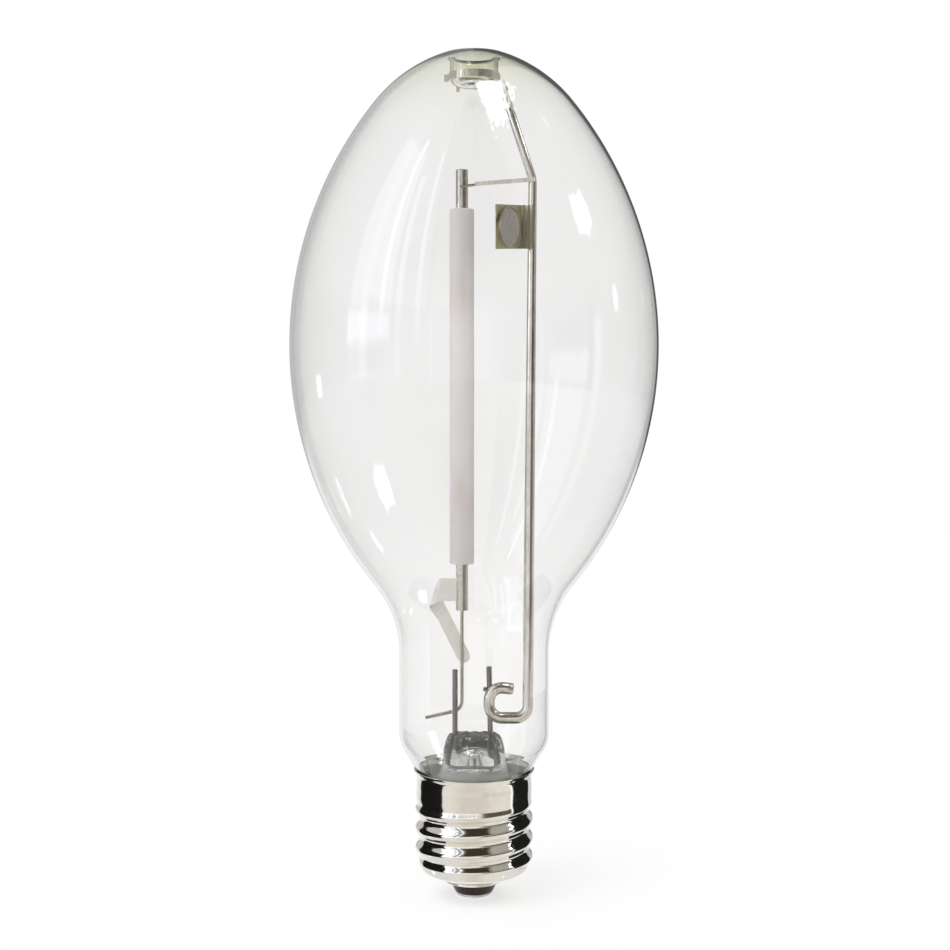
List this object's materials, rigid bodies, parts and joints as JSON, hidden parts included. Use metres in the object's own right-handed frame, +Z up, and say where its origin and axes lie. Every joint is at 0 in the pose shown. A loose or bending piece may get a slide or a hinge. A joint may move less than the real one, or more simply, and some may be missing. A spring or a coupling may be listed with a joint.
{
  "type": "high pressure sodium lamp",
  "caption": "Clear elliptical discharge lamp with a dimpled tip, a ceramic arc tube on a wire frame, a getter flag and a mogul screw base.",
  "frame": {"origin": "middle of the flat underside of the centre contact solder, the lamp end that meets the holder first", "axes": "+Z up the axis of the bulb from the base to the dimpled tip; +X to the right seen from the front, where the frame wire runs; -Y towards the front"},
  "size_m": [0.121, 0.121, 0.2777],
  "materials": {
    "bulb_glass": "clear blown borosilicate glass",
    "stem_glass": "clear pressed glass, slightly grey-green where thick",
    "shell_plating": "bright nickel plating on rolled sheet",
    "black_glass": "glossy black moulded glass",
    "solder": "dull bright solder",
    "contact_metal": "tinned pressed metal",
    "lead_metal": "drawn wire, darkened by the press flame",
    "tail_metal": "thin drawn wire",
    "frame_metal": "bright nickel-plated wire",
    "support_metal": "thin drawn wire",
    "ceramic": "translucent sintered alumina",
    "plug_ceramic": "white sintered alumina",
    "niobium": "grey drawn niobium",
    "tungsten": "dark tungsten",
    "amalgam": "sodium amalgam bead",
    "getter_metal": "nickel-plated sheet with an olive heat tint",
    "getter_fill": "pressed getter powder",
    "strap_metal": "thin pale niobium foil"
  },
  "bodies": {
    "root": {"outer_bulb": "bulb_glass", "stem": "stem_glass", "screw_shell": "shell_plating", "insulator": "black_glass", "centre_contact": "contact_metal", "centre_solder": "solder", "left_lead_in": "lead_metal", "right_lead_in": "lead_metal", "centre_lead_wire": "tail_metal", "side_lead_wire": "tail_metal", "frame_wire": "frame_metal", "dimple_clip": "frame_metal", "support_wire": "support_metal", "arc_tube": "ceramic", "upper_end_plug": "plug_ceramic", "lower_end_plug": "plug_ceramic", "upper_niobium_tube": "niobium", "lower_niobium_tube": "niobium", "upper_electrode": "tungsten", "lower_electrode": "tungsten", "amalgam": "amalgam", "connector_strip": "frame_metal", "connector_wire": "support_metal", "getter_flag": "getter_metal", "getter_pellet": "getter_fill", "expansion_strap": "strap_metal"}
  },
  "joints": []
}
